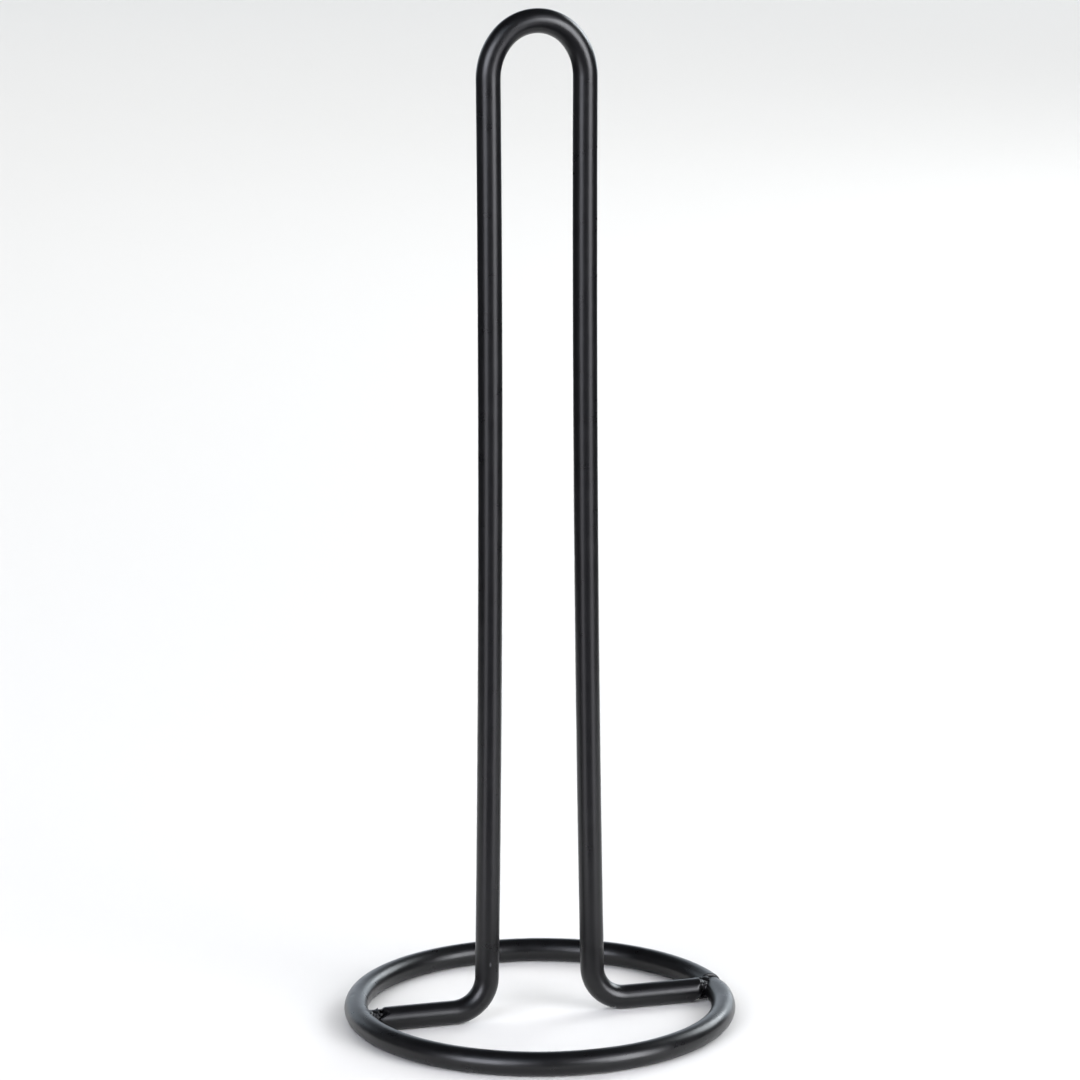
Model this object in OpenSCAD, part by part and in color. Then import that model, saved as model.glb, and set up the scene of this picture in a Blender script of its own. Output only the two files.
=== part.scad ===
// Upright holder for a paper roll: one rod bent into a tall hairpin, standing on a
// ring rolled from the same rod. The hairpin's two feet are welded inside the ring.
// Millimetres. +Z is up, the table is z = 0, and the origin is at the ring's centre.
// The hairpin lies in the plane y = 0, with its feet pointing along -X and +X.

/* [Rod] */
// Diameter of the round rod that both the ring and the hairpin are made of
rod_d = 8; // [6:0.5:10]

/* [Base ring] */
// Outside diameter of the ring
ring_od = 130.8; // [115:0.2:180]
// Where the ring's two ends meet, in degrees counter-clockwise from +X
seam_angle = 3.4; // [2.5:0.1:20]
// Width of the joint between the ring's two ends
seam_gap = 0.9; // [0.4:0.1:2]
// How far the joint's filling stays below the rod's surface
seam_depth = 0.35; // [0.1:0.05:1]

/* [Hairpin] */
// Overall height, from the table to the top of the loop
overall_h = 336.4; // [260:0.2:420]
// Bend radius of the crown of the loop, to the rod's centreline
crown_r = 15.1; // [12:0.1:20]
// Half of the angle that the crown's bend covers
crown_half = 50; // [30:1:65]
// Bend radius of the loop's shoulders, to the rod's centreline
shoulder_r = 19.7; // [15:0.1:24]
// How far each leg leans inwards where it leaves the loop, in degrees
toe_in = 0.29; // [0.1:0.01:0.5]
// Radius of the legs' slight outward bow, to the rod's centreline
bow_r = 12270; // [10000:10:16000]
// Bend radius between a leg and its foot, to the rod's centreline
foot_bend_r = 11.5; // [9:0.1:16]
// Chamfer on the cut ends of the feet
end_chamfer = 0.9; // [0.3:0.1:1.2]
// Gap between a foot's cut end and the ring's inner wall, which the weld fills
root_gap = 2.4; // [1.5:0.1:3.5]

/* [Foot welds] */
// Radius of the weld's body between the foot's cut end and the ring, as a share of the rod's radius
weld_share = 0.825; // [0.75:0.005:0.86]
// Height of the weld body's axis above the foot's axis
weld_lift = 0.2; // [0:0.05:0.3]
// Radius of each run of the bead laid over the weld's body, as a share of the rod's radius
bead_share = 0.55; // [0.45:0.01:0.55]
// Distance of the runs' centres from the weld body's axis, as a share of the rod's radius
bead_at_share = 0.375; // [0.3:0.005:0.375]
// How many runs make the bead, across the top from front to back
bead_runs = 5; // [3:1:7]
// How far to each side of the top the runs reach, in degrees
bead_spread = 75; // [40:5:90]

/* [Hidden] */
coat = [0.09, 0.09, 0.1];

rod_r = rod_d / 2;
ring_r = ring_od / 2 - rod_r;          // the ring's centreline radius
foot_z = rod_r;                        // the feet lie on the table
foot_x = ring_r - rod_r - root_gap;    // where a foot's cut end is
seam_sweep = seam_gap / ring_r * 180 / PI;
weld_r = rod_r * weld_share;
bead_r = rod_r * bead_share;
bead_at = rod_r * bead_at_share;

// The shoulder's centre, measured from the crown's centre
sh_x = (crown_r - shoulder_r) * sin(crown_half);
sh_z = (crown_r - shoulder_r) * cos(crown_half);

// The leg leaves the loop at leg_x0, leaning by -toe_in, and bows outwards down to
// lean_end, where the bend into the foot starts. lean_end is what brings the foot
// down onto the table. leg_sweep is kept to four decimals, and the loop's height
// follows it, so that the bends meet end to end.
leg_x0 = sh_x + shoulder_r * cos(toe_in);
leg_z0 = overall_h - rod_r - crown_r + sh_z - shoulder_r * sin(toe_in);
lean_want = asin((leg_z0 - foot_bend_r - foot_z - bow_r * sin(toe_in)) / (bow_r - foot_bend_r));
leg_sweep = round((lean_want + toe_in) * 10000) / 10000;
lean_end = leg_sweep - toe_in;
leg_x1 = leg_x0 + bow_r * (cos(toe_in) - cos(lean_end));
leg_z1 = foot_z + foot_bend_r * (1 - sin(lean_end));
loop_z = leg_z1 + bow_r * (sin(lean_end) + sin(toe_in)) + shoulder_r * sin(toe_in) - sh_z;
bend_x = leg_x1 + foot_bend_r * cos(lean_end);

// Moves its children to p in three steps, so that no decimals are lost on the way
// and the rod's bends meet exactly end to end
module at(p) {
    whole = [for (v = p) round(v)];
    part = [for (v = p - whole) round(v * 1000) / 1000];
    translate(whole) translate(part) translate(p - whole - part) children();
}

// A bent length of rod in the plane y = 0, about the origin, from angle a0 through
// sweep degrees, counting from +X up towards +Z
module bent_rod(r, a0, sweep, fn = 144) {
    rotate([90, 0, 0])
        rotate_extrude(start = a0, angle = sweep, $fn = fn)
            translate([r, 0]) circle(r = rod_r, $fn = 48);
}

// A length of the ring's curve, about +Z
module ring_rod(tube_r, a0, sweep) {
    rotate_extrude(start = a0, angle = sweep, $fn = 180)
        translate([ring_r, 0]) circle(r = tube_r, $fn = 48);
}

// The straight foot on the +X side, out to its chamfered end
module foot() {
    len = foot_x - bend_x;
    at([bend_x, 0, foot_z]) rotate([0, 90, 0])
        rotate_extrude($fn = 48)
            polygon([[0, 0], [rod_r, 0], [rod_r, len - end_chamfer],
                     [rod_r - end_chamfer, len], [0, len]]);
}

// Everything on the +X side below the crown: the loop's shoulder, the leg, which
// bows about a centre far out on its own side, the bend and the foot
module side() {
    at([sh_x, 0, loop_z + sh_z])
        bent_rod(shoulder_r, -toe_in, 90 - crown_half + toe_in);
    at([leg_x0 + bow_r * cos(toe_in), 0, leg_z1 + bow_r * sin(lean_end)])
        rotate([0, 180, 0])
            bent_rod(bow_r, -toe_in, leg_sweep, 6000);
    at([bend_x, 0, foot_z + foot_bend_r])
        rotate([0, 180, 0])
            bent_rod(foot_bend_r, lean_end, 90 - lean_end);
    foot();
}

// The weld that joins a foot's cut end to the ring, on the +X side: a body that fills
// the gap, with runs of bead laid over it, and only outside the ring and the foot
module foot_weld() {
    body_x = foot_x - end_chamfer / 2;
    difference() {
        union() {
            translate([body_x, 0, foot_z + weld_lift]) rotate([0, 90, 0])
                cylinder(h = ring_r - body_x, r = weld_r, $fn = 48);
            for (i = [0 : bead_runs - 1])
                let (a = 90 - bead_spread + i * 2 * bead_spread / (bead_runs - 1))
                    translate([foot_x + bead_r + 0.6, bead_at * cos(a),
                               foot_z + weld_lift + bead_at * sin(a)])
                        sphere(r = bead_r, $fn = 32);
        }
        rotate_extrude($fn = 180)
            translate([ring_r, rod_r]) circle(r = rod_r, $fn = 48);
        foot();
    }
}

// Ring rolled from the rod, open by the width of its joint
module base_ring() {
    color(coat) translate([0, 0, rod_r])
        ring_rod(rod_r, seam_angle + seam_sweep / 2, 360 - seam_sweep);
}

// The filling of the ring's joint, a little below the rod's surface
module ring_seam_weld() {
    color(coat) translate([0, 0, rod_r])
        ring_rod(rod_r - seam_depth, seam_angle - seam_sweep / 2, seam_sweep);
}

// One rod: foot, bend, leg, loop, leg, bend, foot
module upright_rod() {
    color(coat) {
        at([0, 0, loop_z]) bent_rod(crown_r, 90 - crown_half, 2 * crown_half);
        side();
        mirror([1, 0, 0]) side();
    }
}

// Weld on the +X foot
module right_foot_weld() {
    color(coat) foot_weld();
}

// Weld on the -X foot
module left_foot_weld() {
    color(coat) mirror([1, 0, 0]) foot_weld();
}

base_ring();
upright_rod();
left_foot_weld();
right_foot_weld();
ring_seam_weld();
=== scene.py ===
"""Paper towel holder: one rod bent into a hairpin, welded inside a ring of the same rod, all in satin black powder coat.

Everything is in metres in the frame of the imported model: +Z up, the table at z = 0, the origin at the ring's centre.
The pieces are finer meshes of the same sizes as the CAD nodes that they stand for, with the cut ends, weld beads and
the ring's joint worked out in detail.
"""

import math

import bpy
import numpy as np
from mathutils import Matrix, Vector


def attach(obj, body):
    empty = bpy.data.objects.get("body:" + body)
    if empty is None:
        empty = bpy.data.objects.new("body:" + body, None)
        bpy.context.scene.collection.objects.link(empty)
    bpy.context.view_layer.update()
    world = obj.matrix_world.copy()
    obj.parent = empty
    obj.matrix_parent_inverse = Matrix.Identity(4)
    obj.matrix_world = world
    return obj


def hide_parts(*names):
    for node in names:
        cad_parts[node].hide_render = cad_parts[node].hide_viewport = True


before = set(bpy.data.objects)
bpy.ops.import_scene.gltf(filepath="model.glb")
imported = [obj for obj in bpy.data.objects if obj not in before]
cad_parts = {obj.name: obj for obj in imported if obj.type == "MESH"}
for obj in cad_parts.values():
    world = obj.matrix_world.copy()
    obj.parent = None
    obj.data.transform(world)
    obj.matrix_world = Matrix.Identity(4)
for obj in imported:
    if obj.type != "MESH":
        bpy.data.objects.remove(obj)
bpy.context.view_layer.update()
scene = bpy.context.scene
MM = 0.001

# ---------------------------------------------------------------------------------------------------------------
# Sizes, in millimetres, as the CAD has them
# ---------------------------------------------------------------------------------------------------------------
ROD_R = 4.0
RING_R = 61.4
OVERALL_H = 336.4
CROWN_R, CROWN_HALF = 15.1, math.radians(50)
SHOULDER_R = 19.7
TOE_IN = math.radians(0.29)
BOW_R = 12270.0
BEND_R = 11.5
ROOT_GAP = 2.4
FOOT_X = RING_R - ROD_R - ROOT_GAP
SEAM = math.radians(3.4)
SEAM_GAP = 0.9

SH_X = (CROWN_R - SHOULDER_R) * math.sin(CROWN_HALF)
SH_Z = (CROWN_R - SHOULDER_R) * math.cos(CROWN_HALF)
LEG_X0 = SH_X + SHOULDER_R * math.cos(TOE_IN)
_z0 = OVERALL_H - ROD_R - CROWN_R + SH_Z - SHOULDER_R * math.sin(TOE_IN)
LEAN_END = math.asin((_z0 - BEND_R - ROD_R - BOW_R * math.sin(TOE_IN)) / (BOW_R - BEND_R))
LEG_X1 = LEG_X0 + BOW_R * (math.cos(TOE_IN) - math.cos(LEAN_END))
LEG_Z1 = ROD_R + BEND_R * (1 - math.sin(LEAN_END))
LOOP_Z = LEG_Z1 + BOW_R * (math.sin(LEAN_END) + math.sin(TOE_IN)) + SHOULDER_R * math.sin(TOE_IN) - SH_Z
BEND_X = LEG_X1 + BEND_R * math.cos(LEAN_END)
X_SWEEP = FOOT_X - 3.8


# ---------------------------------------------------------------------------------------------------------------
# Smooth repeatable noise, and mesh helpers
# ---------------------------------------------------------------------------------------------------------------
def hash3(i, j, k, seed):
    """A repeatable value from -1 to 1 for each lattice point."""
    n = (i * 374761393 + j * 668265263 + k * 2147483647 + seed * 1274126177) & 0xFFFFFFFF
    n = ((n ^ (n >> 13)) * 1274126177) & 0xFFFFFFFF
    n = (n ^ (n >> 16)) & 0xFFFFFFFF
    return n.astype(np.float64) / 0x7FFFFFFF - 1.0


def noise(p, scale, seed=0):
    """Value noise of points p (n, 3), with features about `scale` across, smooth to its second derivative."""
    q = np.asarray(p, float) / scale
    c = np.floor(q).astype(np.int64)
    f = q - c
    f = f * f * f * (f * (f * 6 - 15) + 10)
    out = np.zeros(q.shape[:-1])
    for dx in (0, 1):
        for dy in (0, 1):
            for dz in (0, 1):
                w = (
                    (f[..., 0] if dx else 1 - f[..., 0])
                    * (f[..., 1] if dy else 1 - f[..., 1])
                    * (f[..., 2] if dz else 1 - f[..., 2])
                )
                out += w * hash3(c[..., 0] + dx, c[..., 1] + dy, c[..., 2] + dz, seed)
    return out


def signed_volume(verts, faces):
    """Six times the volume inside a closed mesh: negative if its faces point inwards."""
    total = 0.0
    for n in (3, 4):
        f = np.array([x for x in faces if len(x) == n], int)
        for i in range(1, n - 1) if len(f) else ():
            total += np.einsum("ij,ij->", verts[f[:, 0]], np.cross(verts[f[:, i]], verts[f[:, i + 1]]))
    return total


def make_mesh(name, verts_mm, faces):
    if signed_volume(np.asarray(verts_mm), faces) < 0:
        faces = [f[::-1] for f in faces]
    me = bpy.data.meshes.new(name)
    me.from_pydata((np.asarray(verts_mm) * MM).tolist(), [], [list(map(int, f)) for f in faces])
    me.validate()
    me.update()
    for p in me.polygons:
        p.use_smooth = True
    ob = bpy.data.objects.new(name, me)
    scene.collection.objects.link(ob)
    return ob


def tube(rings, closed=False, cap_start=None, cap_end=None):
    """Vertices and faces of a tube from its rings (n, m, 3). A cap is a list of smaller rings and then a centre point."""
    n, m, _ = rings.shape
    verts = [rings.reshape(-1, 3)]
    faces = []
    idx = np.arange(n * m).reshape(n, m)
    last = n if closed else n - 1
    for i in range(last):
        a, b = idx[i], idx[(i + 1) % n]
        for j in range(m):
            k = (j + 1) % m
            faces.append((a[j], b[j], b[k], a[k]))
    count = n * m
    for cap, edge, flip in ((cap_start, idx[0], True), (cap_end, idx[-1], False)):
        if cap is None:
            continue
        prev = edge
        for ring in cap[:-1]:
            cur = np.arange(count, count + m)
            verts.append(ring)
            count += m
            for j in range(m):
                k = (j + 1) % m
                f = (prev[j], cur[j], cur[k], prev[k])
                faces.append(f[::-1] if flip else f)
            prev = cur
        verts.append(np.asarray(cap[-1])[None, :])
        c = count
        count += 1
        for j in range(m):
            k = (j + 1) % m
            f = (prev[j], c, prev[k])
            faces.append(f[::-1] if flip else f)
    return np.concatenate(verts), faces


# ---------------------------------------------------------------------------------------------------------------
# The hairpin's centreline
# ---------------------------------------------------------------------------------------------------------------
def half_path():
    """Points (x, z), headings and arc lengths of the +X half, from the crown's top down to the end of the foot."""
    pts, tan = [], []

    def arc(cx, cz, r, t0, t1, step):
        # t is the heading's angle below +X on the way down: 0 at the crown's top, 90 degrees straight down
        n = max(2, int(math.ceil(abs(t1 - t0) * r / step)))
        for i in range(n):
            t = t0 + (t1 - t0) * i / n
            pts.append((cx + r * math.sin(t), cz + r * math.cos(t)))
            tan.append((math.cos(t), -math.sin(t)))

    arc(0, LOOP_Z, CROWN_R, 0, CROWN_HALF, 0.8)
    arc(SH_X, LOOP_Z + SH_Z, SHOULDER_R, CROWN_HALF, math.pi / 2 + TOE_IN, 0.8)
    cx, cz = LEG_X0 + BOW_R * math.cos(TOE_IN), LEG_Z1 + BOW_R * math.sin(LEAN_END)
    n = 200
    for i in range(n):
        th = -TOE_IN + (LEAN_END + TOE_IN) * i / n
        pts.append((cx - BOW_R * math.cos(th), cz - BOW_R * math.sin(th)))
        tan.append((math.sin(th), -math.cos(th)))
    n = 26
    for i in range(n):
        b = LEAN_END + (math.pi / 2 - LEAN_END) * i / n
        pts.append((BEND_X - BEND_R * math.cos(b), ROD_R + BEND_R - BEND_R * math.sin(b)))
        tan.append((math.sin(b), -math.cos(b)))
    n = 22
    x_end = X_SWEEP
    for i in range(n + 1):
        pts.append((BEND_X + (x_end - BEND_X) * i / n, ROD_R))
        tan.append((1.0, 0.0))
    return np.array(pts), np.array(tan)


def hairpin():
    pts, tan = half_path()
    left = pts[1:][::-1] * [-1, 1]
    left_t = tan[1:][::-1] * [1, -1]
    p2 = np.concatenate([left, pts])
    t2 = np.concatenate([left_t, tan])
    n, m = len(p2), 64
    c = np.stack([p2[:, 0], np.zeros(n), p2[:, 1]], 1)
    t = np.stack([t2[:, 0], np.zeros(n), t2[:, 1]], 1)
    out = np.stack([-t2[:, 1], np.zeros(n), t2[:, 0]], 1)  # the path's normal, up at the crown
    ph = np.arange(m) / m * 2 * math.pi
    d = out[:, None, :] * np.cos(ph)[None, :, None] + np.array([0, -1.0, 0])[None, None, :] * np.sin(ph)[None, :, None]
    flat = (c[:, None, :] + d * ROD_R).reshape(-1, 3)
    wob = 0.012 * noise(flat, 9.0, 11) + 0.006 * noise(flat, 3.1, 12)
    r = ROD_R - 0.012 + wob.reshape(n, m)
    rings = c[:, None, :] + d * r[..., None]

    def end(sign):
        # A sheared end with a rolled edge, reaching a little into the weld. The right one is worn flat below; the left
        # one is cut back at the top and front.
        ring_dir = d[-1] if sign > 0 else d[0]
        dy, dz = ring_dir[:, 1], ring_dir[:, 2]
        if sign > 0:
            x_end = np.full(m, FOOT_X + 1.4)
            flat_depth = 0.95 * np.clip(-dz - 0.1, 0, 0.7) / 0.7
        else:
            back = np.clip((dz - 0.35) / 0.4, 0, 1)
            x_end = FOOT_X + 1.2 - back * back * (3 - 2 * back) * (2.0 + 1.2 * np.clip(-dy / 0.65, 0, 1))
            flat_depth = np.zeros(m)
        # the right end's edge is rounder at the front and below than at the top
        top = np.clip((dz - 0.5) / 0.35, 0, 1) if sign > 0 else np.ones(m)
        roll = 1.9 - (1.4 if sign > 0 else 0.8) * top * top * (3 - 2 * top)
        length = roll * 1.1
        cap = []
        for t in np.sin(np.linspace(0, math.pi / 2, 22))[1:]:
            x = X_SWEEP + (x_end - X_SWEEP) * t
            e = np.clip((x - (x_end - length)) / length, 0, 1)
            w = np.clip((x - (FOOT_X - 1.7)) / 1.8, 0, 1)
            rr = ROD_R - 0.012 - flat_depth * w * w * (3 - 2 * w) - roll * (1 - np.sqrt(np.clip(1 - e * e, 0, 1)))
            cap.append(np.stack([sign * x, dy * rr, ROD_R + dz * rr], 1))
        inner = cap[-1]
        mid = np.array([sign * x_end.mean(), 0, ROD_R])
        for f in (0.75, 0.5, 0.25):
            cap.append(mid + (inner - mid) * f)
        cap.append(mid)
        return cap

    v, f = tube(rings, cap_start=end(-1), cap_end=end(1))
    return v, f


# ---------------------------------------------------------------------------------------------------------------
# The ring, open at its joint
# ---------------------------------------------------------------------------------------------------------------
# How far the ring's near end is ground back from the joint, in mm
JOINT_BACK = 0.35


def ring_mesh():
    m = 64
    half = SEAM_GAP / 2 / RING_R
    length = RING_R * (2 * math.pi - 2 * half) - JOINT_BACK
    # positions along the ring, measured from the joint's far side, closer together near the joint
    s = [0.0]
    while s[-1] < length:
        d = min(s[-1], length - s[-1])
        s.append(s[-1] + (0.12 if d < 1.2 else 0.35 if d < 9 else 1.3))
    s = np.array(s[:-1])
    s = np.append(s[s < length - 0.1], length)
    ang = SEAM + half + s / RING_R
    c = np.stack([RING_R * np.cos(ang), RING_R * np.sin(ang), np.full(len(s), ROD_R)], 1)
    rad = np.stack([np.cos(ang), np.sin(ang), 0 * ang], 1)
    ph = np.arange(m) / m * 2 * math.pi
    d = rad[:, None, :] * np.cos(ph)[None, :, None] + np.array([0, 0, 1.0])[None, None, :] * np.sin(ph)[None, :, None]
    flat = (c[:, None, :] + d * ROD_R).reshape(-1, 3)
    wob = (0.012 * noise(flat, 9.0, 21) + 0.006 * noise(flat, 3.1, 22)).reshape(len(s), m)
    r = np.full((len(s), m), ROD_R - 0.012) + wob
    # rounded edges at the joint
    e = np.minimum(s, length - s)
    edge = np.where(s < length / 2, 0.3, 0.55)
    r -= (edge * (1 - np.sqrt(np.clip(1 - (1 - np.clip(e / edge, 0, 1)) ** 2, 0, 1))))[:, None]
    # the last few millimetres before the joint sit a little low and lumpy, where bead has flowed over them
    near = length - s
    up = np.clip(d[..., 2], 0, 1)
    low = np.exp(-((near / 5.0) ** 2))[:, None] * up
    lump = noise(flat, 1.5, 31).reshape(len(s), m) + 0.5 * noise(flat, 0.8, 32).reshape(len(s), m)
    r += -0.80 * low + 0.12 * lump * np.exp(-((near / 6.0) ** 4))[:, None] * up
    # a tiny dimple in the coat on the left
    dist = np.linalg.norm(flat.reshape(len(s), m, 3) - np.array([-60.5, 16.9, 7.9]), axis=-1)
    r -= 0.2 * np.exp(-((dist / 0.8) ** 2))
    rings = c[:, None, :] + d * r[..., None]

    def cap(i):
        edge_ring = rings[i]
        return [c[i] + (edge_ring - c[i]) * f for f in (0.75, 0.5, 0.25)] + [c[i]]

    return tube(rings[:, ::-1], cap_start=[x[::-1] if x.ndim == 2 else x for x in cap(0)], cap_end=[x[::-1] if x.ndim == 2 else x for x in cap(-1)])


def seam_mesh():
    """The filling between the ring's ends: a lumpy disc set a little below the rod's surface."""
    m, n = 64, 15
    w = SEAM_GAP + JOINT_BACK + 0.24
    u = np.linspace(-0.5, 0.5, n)
    ang = SEAM + (u * w - JOINT_BACK / 2) / RING_R
    c = np.stack([RING_R * np.cos(ang), RING_R * np.sin(ang), np.full(n, ROD_R)], 1)
    rad = np.stack([np.cos(ang), np.sin(ang), 0 * ang], 1)
    ph = np.arange(m) / m * 2 * math.pi
    d = rad[:, None, :] * np.cos(ph)[None, :, None] + np.array([0, 0, 1.0])[None, None, :] * np.sin(ph)[None, :, None]
    flat = (c[:, None, :] + d * ROD_R).reshape(-1, 3)
    lump = noise(flat, 1.3, 41).reshape(n, m)
    r = ROD_R - 1.55 - 0.15 * np.abs(u[:, None] * 2) ** 4 + 0.07 * lump
    rings = c[:, None, :] + d * r[..., None]

    def cap(i):
        return [c[i] + (rings[i] - c[i]) * f for f in (0.7, 0.4)] + [c[i]]

    return tube(rings[:, ::-1], cap_start=[x[::-1] if x.ndim == 2 else x for x in cap(0)], cap_end=[x[::-1] if x.ndim == 2 else x for x in cap(-1)])


# ---------------------------------------------------------------------------------------------------------------
# Welds, as a smooth distance field turned into a mesh
# ---------------------------------------------------------------------------------------------------------------
def smin(a, b, k):
    h = np.clip(k - np.abs(a - b), 0, None) / k
    return np.minimum(a, b) - h * h * k / 4


def ring_field(p):
    return np.hypot(np.hypot(p[..., 0], p[..., 1]) - RING_R, p[..., 2] - ROD_R) - ROD_R


def foot_field(p, side):
    """One foot, drawn on the +X side, with its rounded cut end."""
    q = np.hypot(p[..., 1], p[..., 2] - ROD_R)
    rr, reach = (1.9, 1.4) if side > 0 else (1.2, 1.2)
    dx, dq = p[..., 0] - (FOOT_X + reach - rr), q - (ROD_R - rr)
    return np.minimum(np.maximum(dx, dq), 0) + np.hypot(np.clip(dx, 0, None), np.clip(dq, 0, None)) - rr


def drop(p, c, r):
    """An ellipsoid of half sizes r at c, as a distance near its surface."""
    q = [(p[..., i] - c[i]) / r[i] for i in range(3)]
    k0 = np.sqrt(q[0] ** 2 + q[1] ** 2 + q[2] ** 2)
    k1 = np.sqrt((q[0] / r[0]) ** 2 + (q[1] / r[1]) ** 2 + (q[2] / r[2]) ** 2)
    return k0 * (k0 - 1) / np.maximum(k1, 1e-6)


def surface_nets(field, lo, step, shape):
    """A quad mesh of field = 0 on a grid."""
    nx, ny, nz = shape
    inside = field < 0
    cells = np.zeros((nx - 1, ny - 1, nz - 1, 3))
    count = np.zeros((nx - 1, ny - 1, nz - 1))
    for axis in range(3):
        others = [x for x in range(3) if x != axis]
        for a in (0, 1):
            for b in (0, 1):
                off = [0, 0, 0]
                off[others[0]], off[others[1]] = a, b
                sl0 = [slice(off[o], shape[o] - 1 + off[o]) for o in range(3)]
                sl1 = list(sl0)
                sl0[axis], sl1[axis] = slice(0, -1), slice(1, None)
                f0, f1 = field[tuple(sl0)], field[tuple(sl1)]
                cross = (f0 < 0) != (f1 < 0)
                t = np.where(cross, f0 / np.where(cross, f0 - f1, 1), 0)
                for k in range(3):
                    cells[..., k] += np.where(cross, t if k == axis else off[k], 0)
                count += cross
    active = count > 0
    number = -np.ones(active.shape, int)
    number[active] = np.arange(active.sum())
    g = np.stack(np.meshgrid(*[np.arange(s - 1) for s in shape], indexing="ij"), -1)
    verts = lo + (g[active] + cells[active] / count[active][:, None]) * step
    faces = []
    for axis in range(3):
        o1, o2 = [x for x in range(3) if x != axis]
        sl0, sl1 = [slice(None)] * 3, [slice(None)] * 3
        sl0[axis], sl1[axis] = slice(0, -1), slice(1, None)
        change = inside[tuple(sl0)] != inside[tuple(sl1)]
        pts = np.argwhere(change)
        pts = pts[(pts[:, o1] > 0) & (pts[:, o2] > 0) & (pts[:, o1] < shape[o1] - 1) & (pts[:, o2] < shape[o2] - 1)]
        e1, e2 = np.eye(3, dtype=int)[o1], np.eye(3, dtype=int)[o2]
        q = [pts, pts - e1, pts - e1 - e2, pts - e2]
        ids = np.stack([number[tuple(x.T)] for x in q], 1)
        first = inside[tuple(pts.T)]
        flip = first if axis != 1 else ~first
        ids[~flip] = ids[~flip][:, ::-1]
        faces.append(ids)
    return verts, np.concatenate(faces)


def flood(mask, seed):
    """The cells of mask that can be reached from seed through the cells' faces."""
    reached = np.zeros_like(mask)
    reached[seed] = True
    size = 0
    while reached.sum() != size:
        size = reached.sum()
        for axis in range(3):
            r, m = np.moveaxis(reached, axis, 0), np.moveaxis(mask, axis, 0)
            r[1:] |= r[:-1] & m[1:]
            r[:-1] |= r[1:] & m[:-1]
    return reached


def tidy(field):
    """Field with one solid body: no crumbs, no closed pockets and no places where the body touches itself at an edge."""
    inside = field < 0
    size = 0
    while inside.sum() != size:
        size = inside.sum()
        for a, b in ((0, 1), (0, 2), (1, 2)):
            v = np.moveaxis(inside, (a, b), (0, 1))
            s00, s10, s01, s11 = v[:-1, :-1], v[1:, :-1], v[:-1, 1:], v[1:, 1:]
            s10 |= s00 & s11 & ~s10 & ~s01
            s00 |= s10 & s01 & ~s00 & ~s11
    inside = flood(inside, np.unravel_index(np.argmin(field), field.shape))
    inside = ~flood(~inside, (0, 0, 0))
    return np.where(inside, np.minimum(field, -0.01), np.maximum(field, 0.01))


def weld_mesh(side, seed, neck, drops, step=0.13):
    """The weld on one foot: a neck across the gap and drops of bead laid on it, blended into the rod and the ring."""
    neck_c, neck_r = neck

    def solid(p):
        rod, ring = foot_field(p, side), ring_field(p)
        k0 = np.hypot((p[..., 1] - neck_c[0]) / neck_r[0], (p[..., 2] - neck_c[1]) / neck_r[1])
        body = (k0 - 1) * min(neck_r)
        body = np.maximum(body, np.maximum(FOOT_X - 1.6 - p[..., 0], p[..., 0] - RING_R))
        for x, y, z, rx, ry, rz in drops:
            body = smin(body, drop(p, (x, y, z), (rx, ry, rz)), 0.3)
        body = body + 0.075 * noise(p, 1.0, seed) + 0.035 * noise(p, 0.5, seed + 1)
        hard = np.minimum(rod, ring)
        joined = smin(smin(body, rod, 0.5), ring, 0.6)
        # only the skin of the blend is kept, but for the core between the cut end and the ring
        core = 0.9 if side < 0 else 0.16
        f = np.maximum(joined, -(rod + core))
        f = np.maximum(f, -(ring + 0.16))
        f = np.maximum(f, joined - hard + 0.012) if side > 0 else np.maximum(f, np.minimum(joined - hard + 0.012, body + 0.05))
        centre = np.sqrt(((p[..., 0] - 57.2) / 1.15) ** 2 + p[..., 1] ** 2 + (p[..., 2] - ROD_R) ** 2) - 5.7
        return np.maximum(f, centre)

    lo = np.array([50.0, -6.5, -0.4])
    hi = np.array([64.5, 6.5, 9.4])
    shape = tuple(int(v) for v in np.ceil((hi - lo) / step))
    g = np.stack(np.meshgrid(*[lo[i] + np.arange(shape[i]) * step for i in range(3)], indexing="ij"), -1)
    v, f = surface_nets(tidy(solid(g)), lo, step, shape)
    # keep the largest connected part, so that no crumbs are left
    parent = np.arange(len(v))
    edges = np.concatenate([f[:, [0, 1]], f[:, [1, 2]], f[:, [2, 3]]])
    for _ in range(300):
        low = parent[edges].min(1)
        new = parent.copy()
        np.minimum.at(new, edges[:, 0], low)
        np.minimum.at(new, edges[:, 1], low)
        new = new[new]
        if (new == parent).all():
            break
        parent = new
    roots, sizes = np.unique(parent, return_counts=True)
    keep = parent == roots[sizes.argmax()]
    f = f[keep[f].all(1)]
    renum = np.cumsum(keep) - 1
    v, f = v[keep], renum[f]
    # a little smoothing of the mesh itself
    nb = np.concatenate([f[:, [0, 1]], f[:, [1, 2]], f[:, [2, 3]], f[:, [3, 0]]])
    nb = np.concatenate([nb, nb[:, ::-1]])
    for lam in (0.5, -0.52, 0.5, -0.52):
        total = np.zeros_like(v)
        num = np.zeros(len(v))
        np.add.at(total, nb[:, 0], v[nb[:, 1]])
        np.add.at(num, nb[:, 0], 1)
        v = v + lam * (total / num[:, None] - v)
    v[:, 2] = np.maximum(v[:, 2], 0.05)
    if side < 0:
        v = v * [-1, 1, 1]
        f = f[:, ::-1]
    return v, f


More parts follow.
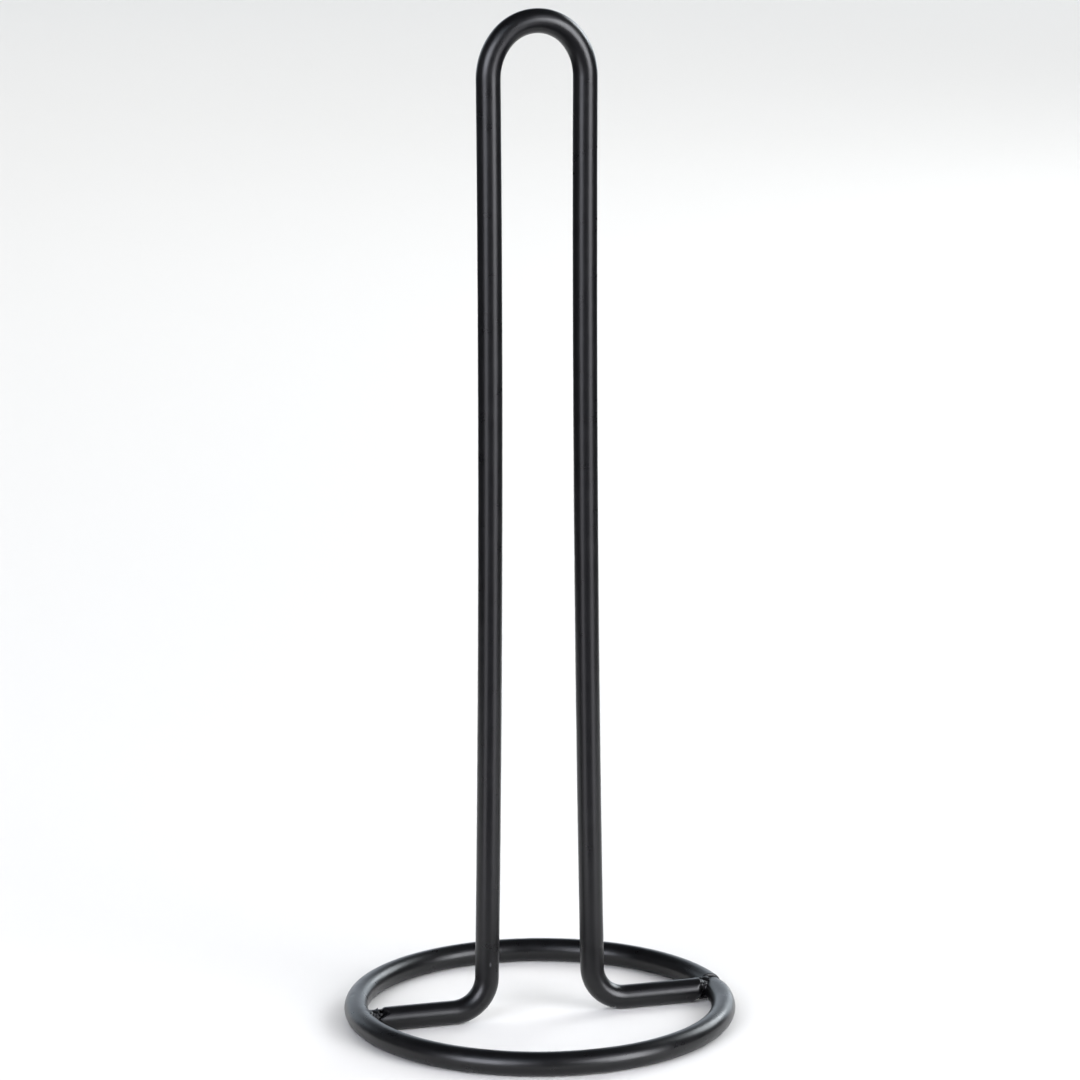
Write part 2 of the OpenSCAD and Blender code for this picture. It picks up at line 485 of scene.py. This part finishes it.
# ---------------------------------------------------------------------------------------------------------------
# Powder coat
# ---------------------------------------------------------------------------------------------------------------
def powder_coat(name, rough=0.305, colour=(0.0021, 0.0021, 0.0024, 1), dent_highlight=None):
    mat = bpy.data.materials.new(name)
    mat.use_nodes = True
    nt = mat.node_tree
    nt.nodes.clear()
    N = nt.nodes.new
    out = N("ShaderNodeOutputMaterial")
    b = N("ShaderNodeBsdfPrincipled")
    nt.links.new(b.outputs["BSDF"], out.inputs["Surface"])
    tc = N("ShaderNodeTexCoord")
    b.inputs["IOR"].default_value = 1.43
    b.inputs["Metallic"].default_value = 0.0

    def tex(scale_mm, detail=2.0, rough_=0.5):
        t = N("ShaderNodeTexNoise")
        t.inputs["Scale"].default_value = 1.0 / (scale_mm * MM)
        t.inputs["Detail"].default_value = detail
        t.inputs["Roughness"].default_value = rough_
        nt.links.new(tc.outputs["Object"], t.inputs["Vector"])
        return t

    # colour: almost black, a little lighter and darker in broad soft patches and fine grains
    broad, grain = tex(14.0, 3.0), tex(0.32, 2.0, 0.6)
    mixf = N("ShaderNodeMath")
    mixf.operation = "MULTIPLY_ADD"
    nt.links.new(grain.outputs["Fac"], mixf.inputs[0])
    mixf.inputs[1].default_value = 0.55
    nt.links.new(broad.outputs["Fac"], mixf.inputs[2])
    ramp = N("ShaderNodeValToRGB")
    ramp.color_ramp.elements[0].position = 0.45
    ramp.color_ramp.elements[0].color = tuple(c * 0.72 for c in colour[:3]) + (1,)
    ramp.color_ramp.elements[1].position = 1.15 / 1.25
    ramp.color_ramp.elements[1].color = tuple(c * 1.35 for c in colour[:3]) + (1,)
    nt.links.new(mixf.outputs[0], ramp.inputs["Fac"])
    nt.links.new(ramp.outputs["Color"], b.inputs["Base Color"])
    # a small painted highlight low on the left leg, where a dent from bending catches the light: the coat's colour is
    # mixed towards grey in a small patch
    if dent_highlight:
        sub = N("ShaderNodeVectorMath")
        sub.operation = "SUBTRACT"
        nt.links.new(tc.outputs["Object"], sub.inputs[0])
        sub.inputs[1].default_value = tuple(c * MM for c in dent_highlight)
        mul = N("ShaderNodeVectorMath")
        mul.operation = "MULTIPLY"
        nt.links.new(sub.outputs[0], mul.inputs[0])
        mul.inputs[1].default_value = (1 / (0.45 * MM), 1 / (2.0 * MM), 1 / (1.0 * MM))
        ln = N("ShaderNodeVectorMath")
        ln.operation = "LENGTH"
        nt.links.new(mul.outputs[0], ln.inputs[0])
        fade = N("ShaderNodeMapRange")
        fade.interpolation_type = "SMOOTHSTEP"
        fade.inputs["From Min"].default_value = 1.0
        fade.inputs["From Max"].default_value = 0.35
        fade.inputs["To Min"].default_value = 0.0
        fade.inputs["To Max"].default_value = 0.8
        nt.links.new(ln.outputs["Value"], fade.inputs["Value"])
        mc = N("ShaderNodeMix")
        mc.data_type = "RGBA"
        nt.links.new(fade.outputs["Result"], mc.inputs["Factor"])
        nt.links.new(ramp.outputs["Color"], mc.inputs["A"])
        mc.inputs["B"].default_value = (0.06, 0.06, 0.063, 1)
        nt.links.new(mc.outputs["Result"], b.inputs["Base Color"])
    # roughness: soft variation
    rr = N("ShaderNodeMapRange")
    rr.inputs["From Min"].default_value = 0.3
    rr.inputs["From Max"].default_value = 0.7
    rr.inputs["To Min"].default_value = rough - 0.035
    rr.inputs["To Max"].default_value = rough + 0.035
    var = tex(5.0, 3.0)
    nt.links.new(var.outputs["Fac"], rr.inputs["Value"])
    nt.links.new(rr.outputs["Result"], b.inputs["Roughness"])
    # relief: orange peel, with a finer grain of the powder over it
    peel, fine = tex(1.5, 1.5, 0.4), tex(0.28, 2.0, 0.5)
    b1, b2 = N("ShaderNodeBump"), N("ShaderNodeBump")
    b1.inputs["Distance"].default_value = 0.00003
    b1.inputs["Strength"].default_value = 0.55
    nt.links.new(peel.outputs["Fac"], b1.inputs["Height"])
    b2.inputs["Distance"].default_value = 0.000006
    b2.inputs["Strength"].default_value = 0.6
    nt.links.new(fine.outputs["Fac"], b2.inputs["Height"])
    nt.links.new(b1.outputs["Normal"], b2.inputs["Normal"])
    nt.links.new(b2.outputs["Normal"], b.inputs["Normal"])
    return mat


coat = powder_coat("powder_coat_black")
# the rod's coat carries a painted highlight low on the left leg, a greyer patch where a dent from bending catches the
# light
rod_coat = powder_coat("powder_coat_black_rod", dent_highlight=(-18.2, -3.9, 20.7))
weld_coat = powder_coat("powder_coat_over_weld", rough=0.36)
groove_coat = powder_coat("powder_coat_in_groove", rough=0.55)

# ---------------------------------------------------------------------------------------------------------------
# The pieces
# ---------------------------------------------------------------------------------------------------------------
# Right: laid on from above and behind, so the top is flush and the front is left as a dark pit with a stray drop in it
NECK_RIGHT = ((1.0, 3.9), (2.0, 3.0))
DROPS_RIGHT = [
    (56.3, -0.5, 6.2, 1.3, 2.0, 1.5),
    (57.0, -0.5, 5.5, 2.2, 2.1, 1.8),
    (55.6, 1.9, 6.35, 2.0, 1.5, 1.3),
    (57.2, 1.5, 6.45, 1.5, 1.6, 1.35),
    (58.6, 1.3, 6.5, 1.5, 1.8, 1.4),
    (57.5, -2.3, 6.55, 0.6, 0.5, 0.5),
    (56.6, -0.9, 1.75, 1.0, 0.9, 0.75),
    (57.9, -0.9, 1.85, 0.7, 0.9, 0.75),
    (57.3, 2.6, 4.6, 1.3, 1.0, 1.7),
]
# Left: the filling is a little lower than the rod, with a drop at the rod's edge and two runs down the ring's wall
NECK_LEFT = ((0.8, 4.0), (2.4, 3.25))
DROPS_LEFT = [
    (54.7, 0.3, 6.2, 1.7, 1.8, 1.0),
    (56.9, 0.2, 6.2, 1.6, 1.9, 1.0),
    (58.8, 0.0, 6.3, 1.3, 2.0, 1.05),
    (55.3, -2.0, 6.2, 0.65, 0.6, 0.55),
    (58.75, -2.7, 6.2, 0.45, 0.6, 1.6),
    (57.9, -3.3, 6.0, 0.5, 0.7, 1.5),
    (56.9, -3.6, 5.3, 0.5, 0.7, 1.6),
    (56.6, 2.1, 4.5, 2.2, 1.4, 2.3),
]

pieces = {
    "hairpin_rod": (hairpin(), "upright_rod", rod_coat),
    "rolled_ring": (ring_mesh(), "base_ring", coat),
    "ring_joint_filling": (seam_mesh(), "ring_seam_weld", groove_coat),
    "foot_weld_right": (weld_mesh(1, 51, NECK_RIGHT, DROPS_RIGHT), "right_foot_weld", weld_coat),
    "foot_weld_left": (weld_mesh(-1, 61, NECK_LEFT, DROPS_LEFT), "left_foot_weld", weld_coat),
}
for name, ((v, f), node, mat) in pieces.items():
    ob = make_mesh(name, v, f)
    ob.data.materials.append(mat)
    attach(ob, "root")
    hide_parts(node)
for n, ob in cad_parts.items():
    for sl in ob.material_slots:
        sl.material = coat

# ---------------------------------------------------------------------------------------------------------------
# Camera, floor and studio light
# ---------------------------------------------------------------------------------------------------------------
CAM = Vector((-386.96, -1334.68, 457.42)) * MM
TARGET = Vector((0.5625, 0.0, 162.912)) * MM
ROLL = -0.0030946
f = (TARGET - CAM).normalized()
s = f.cross(Vector((0, 0, 1))).normalized()
u = s.cross(f)
right = s * math.cos(ROLL) + u * math.sin(ROLL)
up = -s * math.sin(ROLL) + u * math.cos(ROLL)
cam = bpy.data.cameras.new("camera")
cam_ob = bpy.data.objects.new("camera", cam)
scene.collection.objects.link(cam_ob)
m = Matrix.Identity(4)
for i in range(3):
    m[i][0], m[i][1], m[i][2], m[i][3] = right[i], up[i], -f[i], CAM[i]
cam_ob.matrix_world = m
cam.sensor_fit = "HORIZONTAL"
cam.sensor_width = 36.0
cam.lens = 144.688
cam.clip_start, cam.clip_end = 0.05, 50
scene.camera = cam_ob

# The floor is a strip of pale paper that starts a little in front of the holder and runs far back. Past its edges a wider
# floor and a pale surround finish the picture; neither is mirrored in the coat or shades anything.
BACK = Vector((f.x, f.y, 0)).normalized()
SIDE = Vector((-BACK.y, BACK.x, 0))


def pale(name, value, tint=(1.0, 1.0, 1.0)):
    mat = bpy.data.materials.new(name)
    mat.use_nodes = True
    nt = mat.node_tree
    b = nt.nodes["Principled BSDF"]
    b.inputs["Roughness"].default_value = 0.95
    b.inputs["Specular IOR Level"].default_value = 0.1
    b.inputs["Base Color"].default_value = (value * tint[0], value * tint[1], value * tint[2], 1)
    return mat


def stage_mesh(name, points, faces, mat):
    me = bpy.data.meshes.new(name)
    me.from_pydata([tuple(p) for p in points], [], faces)
    me.update()
    for p in me.polygons:
        p.use_smooth = True
    ob = bpy.data.objects.new(name, me)
    scene.collection.objects.link(ob)
    ob.data.materials.append(mat)
    return ob


paper_mat = pale("paper_pale", 0.67, (1.0, 0.985, 0.955))
pts, fcs = [], []
for y in (-0.14, 0.5, 3.0, 6.0):
    hw = 0.42 + 0.10 * max(0.0, y)
    for sx in (-1, 1):
        p = BACK * y + SIDE * (sx * hw)
        pts.append((p.x, p.y, 0.0))
for i in range(3):
    fcs.append((2 * i + 1, 2 * i, 2 * i + 2, 2 * i + 3))
stage_mesh("floor", pts, fcs, paper_mat)
# The floor around the strip, which glows faintly far from the holder, where no panel reaches it
beyond_mat = pale("floor_beyond_pale", 0.67, (1.0, 0.985, 0.955))
bnt = beyond_mat.node_tree
b_geo, b_len, b_map = (bnt.nodes.new(t) for t in ("ShaderNodeNewGeometry", "ShaderNodeVectorMath", "ShaderNodeMapRange"))
b_len.operation = "LENGTH"
b_map.interpolation_type = "SMOOTHSTEP"
for key, v in (("From Min", 0.8), ("From Max", 2.4), ("To Min", 0.0), ("To Max", 0.7)):
    b_map.inputs[key].default_value = v
b_bsdf = bnt.nodes["Principled BSDF"]
b_bsdf.inputs["Emission Color"].default_value = (0.96, 0.975, 1.0, 1)
bnt.links.new(b_geo.outputs["Position"], b_len.inputs[0])
bnt.links.new(b_len.outputs["Value"], b_map.inputs["Value"])
bnt.links.new(b_map.outputs["Result"], b_bsdf.inputs["Emission Strength"])
far = stage_mesh("floor_beyond", [(-9, -9, -0.0006), (9, -9, -0.0006), (9, 9, -0.0006), (-9, 9, -0.0006)], [(0, 1, 2, 3)], beyond_mat)
far.visible_glossy = False
far.visible_shadow = False


def panel(name, az, el, daz, del_, radiance, colour=(1, 1, 1), dist=2.4, mirrored=True, aim=0.1):
    """A soft panel az degrees to the right of the camera and el degrees up, seen from the holder."""
    base = math.atan2(CAM.y, CAM.x) + math.radians(az)
    e = math.radians(el)
    d = Vector((math.cos(base) * math.cos(e), math.sin(base) * math.cos(e), math.sin(e)))
    l = bpy.data.lights.new(name, "AREA")
    l.shape = "RECTANGLE"
    l.size = 2 * dist * math.tan(math.radians(daz / 2)) * max(math.cos(e), 0.3)
    l.size_y = 2 * dist * math.tan(math.radians(del_ / 2))
    l.energy = math.pi * l.size * l.size_y * radiance
    l.color = colour
    ob = bpy.data.objects.new(name, l)
    scene.collection.objects.link(ob)
    ob.location = Vector((0, 0, aim)) + d * dist
    ob.rotation_euler = (-d).to_track_quat("-Z", "Y").to_euler()
    ob.visible_camera = False
    ob.visible_glossy = mirrored
    return ob


PANELS = [
    ("left_main", -34, 17, 32, 32, 9.6, (0.88, 0.90, 1.0)),
    ("left_inner", -13, 18, 16, 24, 2.4, (0.9, 0.92, 1.0)),
    ("left_low", -37, -11, 28, 20, 2.0, (0.95, 0.92, 1.0)),
    ("left_high", -30, 44, 44, 18, 1.7, (0.75, 0.86, 1.0)),
    ("right_main", 53, 17, 32, 36, 11.8, (0.94, 0.95, 1.0)),
    ("right_inner", 30, 19, 14, 22, 4.0, (0.9, 0.92, 1.0)),
    ("right_low", 51, -12, 32, 20, 2.1, (0.94, 0.91, 1.0)),
    ("right_high", 48, 46, 44, 18, 1.5, (0.88, 0.88, 1.0)),
    ("front_low", 8, -18, 40, 20, 0.25, (0.85, 0.85, 1.0)),
    ("rear_right", 134, 27, 30, 22, 8.2, (0.91, 0.96, 1.0)),
    ("side_left", -96, 18, 40, 40, 0.15, (0.9, 0.96, 1.0)),
]
for name, az, el, daz, del_, rad, colour in PANELS:
    panel(name, az, el, daz, del_, rad, colour)
for name, az, el, daz, del_, rad, colour in [
    ("rear_wide_right", 152, 12, 26, 30, 2.4, (0.83, 0.92, 1.0)),
    ("rear_wide", 182, 12, 32, 30, 1.3, (0.81, 0.90, 1.0)),
    ("rear_wide_left", 214, 12, 32, 30, 1.3, (0.80, 0.90, 1.0)),
]:
    panel(name, az, el, daz, del_, rad, colour, dist=7.5)
# more light on the paper far behind, which the panels near the holder don't reach
far_fill = panel("far_fill", 180, 40, 70, 60, 0.6, dist=3.4, mirrored=False)
far_fill.location = (BACK.x * 2.9, BACK.y * 2.9, 2.4)
far_fill.rotation_euler = (0, 0, math.atan2(BACK.y, BACK.x))
far_fill.data.size, far_fill.data.size_y = 4.2, 6.0
far_fill.data.energy = math.pi * 4.2 * 6.0 * 1.15

# An even light for the paper alone: it comes from all over the sky above, and the coat doesn't mirror it
sun = bpy.data.lights.new("floor_fill", "SUN")
sun.energy = 0.85
sun.angle = math.radians(100)
sun_ob = bpy.data.objects.new("floor_fill", sun)
scene.collection.objects.link(sun_ob)
sun_ob.visible_glossy = False

# A pale surround for the views that look past the floor
ring_pts, ring_fcs = [], []
for i in range(48):
    a = i / 48 * 2 * math.pi
    ring_pts += [(8.8 * math.cos(a), 8.8 * math.sin(a), -0.05), (8.8 * math.cos(a), 8.8 * math.sin(a), 9.0)]
    j = (i + 1) % 48
    ring_fcs.append((2 * i, 2 * i + 1, 2 * j + 1, 2 * j))
sur_mat = bpy.data.materials.new("surround_pale")
sur_mat.use_nodes = True
sur_nt = sur_mat.node_tree
sur_nt.nodes.clear()
em, so = sur_nt.nodes.new("ShaderNodeEmission"), sur_nt.nodes.new("ShaderNodeOutputMaterial")
em.inputs["Color"].default_value = (0.97, 0.98, 1.0, 1)
em.inputs["Strength"].default_value = 0.9
sur_nt.links.new(em.outputs["Emission"], so.inputs["Surface"])
sur = stage_mesh("surround", ring_pts, ring_fcs, sur_mat)
sur.visible_glossy = sur.visible_diffuse = sur.visible_shadow = False

world = bpy.data.worlds.new("world")
scene.world = world
world.use_nodes = True
world.node_tree.nodes["Background"].inputs["Color"].default_value = (0.86, 0.86, 1.0, 1)
world.node_tree.nodes["Background"].inputs["Strength"].default_value = 0.035
scene.view_settings.view_transform = "Standard"
scene.view_settings.look = "None"
